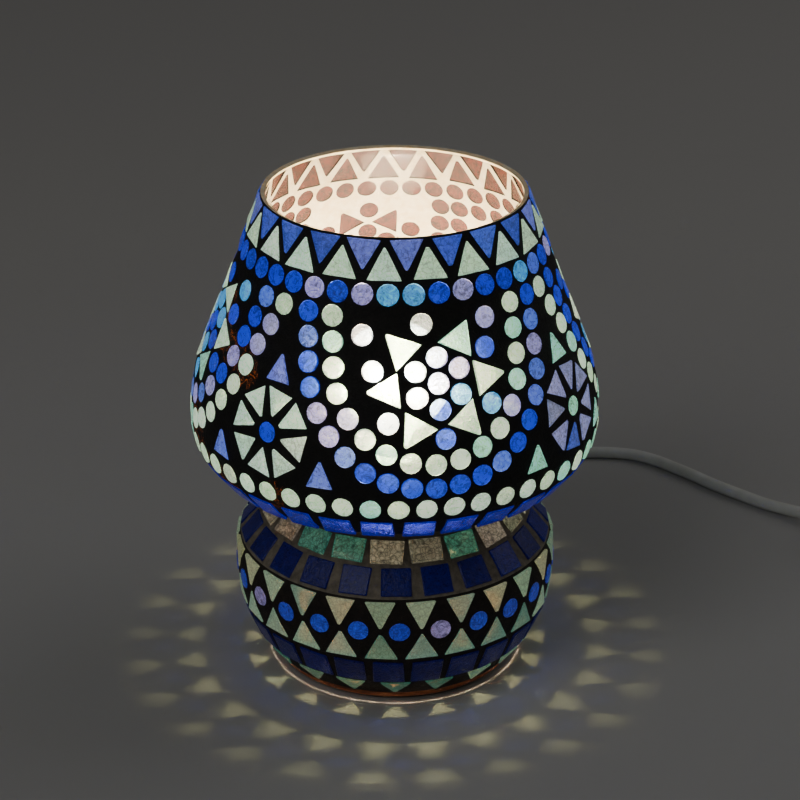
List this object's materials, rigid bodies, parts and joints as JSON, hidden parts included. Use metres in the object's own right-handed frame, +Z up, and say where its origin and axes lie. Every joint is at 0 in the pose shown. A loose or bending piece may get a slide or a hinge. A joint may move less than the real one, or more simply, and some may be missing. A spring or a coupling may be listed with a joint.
{
  "type": "mosaic glass table lamp",
  "caption": "Mushroom-shaped table lamp: mosaic of coloured glass in grout over a one-piece glass shade and bowl, lit from inside, with cord, switch and plug.",
  "frame": {"origin": "centre of the foot, on the surface that the lamp stands on", "axes": "+Z up along the lamp's axis, -Y towards the viewer at the lamp's front, +X to the viewer's right"},
  "size_m": [0.396, 0.2532, 0.1995],
  "materials": {
    "clear_glass": "clear blown glass, white inside where lit",
    "grout_dark": "near-black cement grout, matt",
    "grout_taupe": "taupe cement grout, matt",
    "glass_teal": "teal crackle glass, glossy",
    "glass_cobalt": "cobalt glass, glossy",
    "glass_pale_green": "pale green crackle glass, glossy",
    "glass_blue": "mid-blue crackle glass, glossy",
    "glass_aqua": "aqua-white crackle glass, glossy",
    "glass_cyan": "light cyan and lilac crackle glass, glossy",
    "glass_crackle": "beige and teal crackle glass, glossy",
    "glass_grey_blue": "grey-blue and lilac crackle glass, glossy",
    "felt": "dark felt",
    "stained_wood": "stained brown, satin",
    "plated_steel": "nickel plated",
    "brass": "plain",
    "holder_plastic": "white thermoplastic",
    "holder_ceramic": "plain ceramic",
    "cord_pvc": "translucent white flexible sheath",
    "wire_pvc": "brown and blue insulation",
    "bulb_glass": "thin clear glass",
    "bulb_cap": "rolled screw cap",
    "black_glass": "black vitreous insulator",
    "hot_filament": "glowing wire",
    "white_plastic": "moulded, satin"
  },
  "bodies": {
    "root": {"glass_body": "clear_glass", "grout_foot": "grout_dark", "grout_zigzag": "grout_dark", "grout_shoulder": "grout_taupe", "grout_underside": "grout_dark", "grout_panels": "grout_dark", "grout_rim": "grout_dark", "foot_triangles": "glass_teal", "lower_squares": "glass_cobalt", "zigzag_lower_triangles": "glass_pale_green", "zigzag_upper_triangles": "glass_pale_green", "diamond_discs": "glass_blue", "upper_squares": "glass_cobalt", "shoulder_tiles": "glass_crackle", "underside_tiles": "glass_cobalt", "hem_discs": "glass_aqua", "collar_discs": "glass_blue", "rim_aqua_triangles": "glass_aqua", "rim_blue_triangles": "glass_blue", "arch_aqua_discs": "glass_aqua", "arch_blue_discs": "glass_blue", "rosette_discs": "glass_cyan", "rosette_triangles": "glass_aqua", "wheel_aqua_triangles": "glass_aqua", "wheel_blue_triangles": "glass_grey_blue", "wheel_hubs": "glass_blue", "spandrel_triangles": "glass_blue", "felt_pad": "felt", "base_disc": "stained_wood", "column": "plated_steel", "column_screws": "plated_steel", "nipple": "brass", "nipple_nuts": "brass", "holder_cap": "holder_plastic", "terminal_block": "holder_ceramic", "terminal_screws": "plated_steel", "holder_shell": "holder_plastic", "screw_sleeve": "plated_steel", "centre_contact": "brass", "inner_lead": "cord_pvc", "core_wires": "wire_pvc", "cord_gland": "white_plastic", "cord_run": "cord_pvc", "cord_tail": "cord_pvc", "cord_coil": "cord_pvc", "cord_end": "cord_pvc", "coil_tie": "white_plastic", "plug_body": "white_plastic", "plug_pins": "plated_steel", "switch_base": "white_plastic", "switch_cover": "white_plastic", "switch_screws": "plated_steel", "switch_contacts": "brass"},
    "bulb_carrier": {"bulb_insulator": "black_glass", "bulb_contact": "bulb_cap"},
    "bulb": {"bulb_globe": "bulb_glass", "bulb_cap": "bulb_cap", "bulb_stem": "bulb_glass", "bulb_filament": "hot_filament"},
    "rocker": {"switch_rocker": "white_plastic"}
  },
  "joints": [
    {"name": "bulb_turn", "type": "hinge", "parent": "bulb_carrier", "child": "bulb", "pos_m": [0, 0, 0.12], "axis": [0, 0, 1], "range_deg": [0, 1800]},
    {"name": "bulb_lift", "type": "slide", "parent": "root", "child": "bulb_carrier", "axis": [0, 0, 1], "range_m": [0, 0.0142]},
    {"name": "rocker_tip", "type": "hinge", "parent": "root", "child": "rocker", "pos_m": [0.226, 0.07, 0.0105], "axis": [0.6428, 0.766, 0], "range_deg": [-18, 0]}
  ],
  "couplings": [
    {"joint": "bulb_lift", "follows": "bulb_turn", "m_per_rad": 0.00044882}
  ]
}
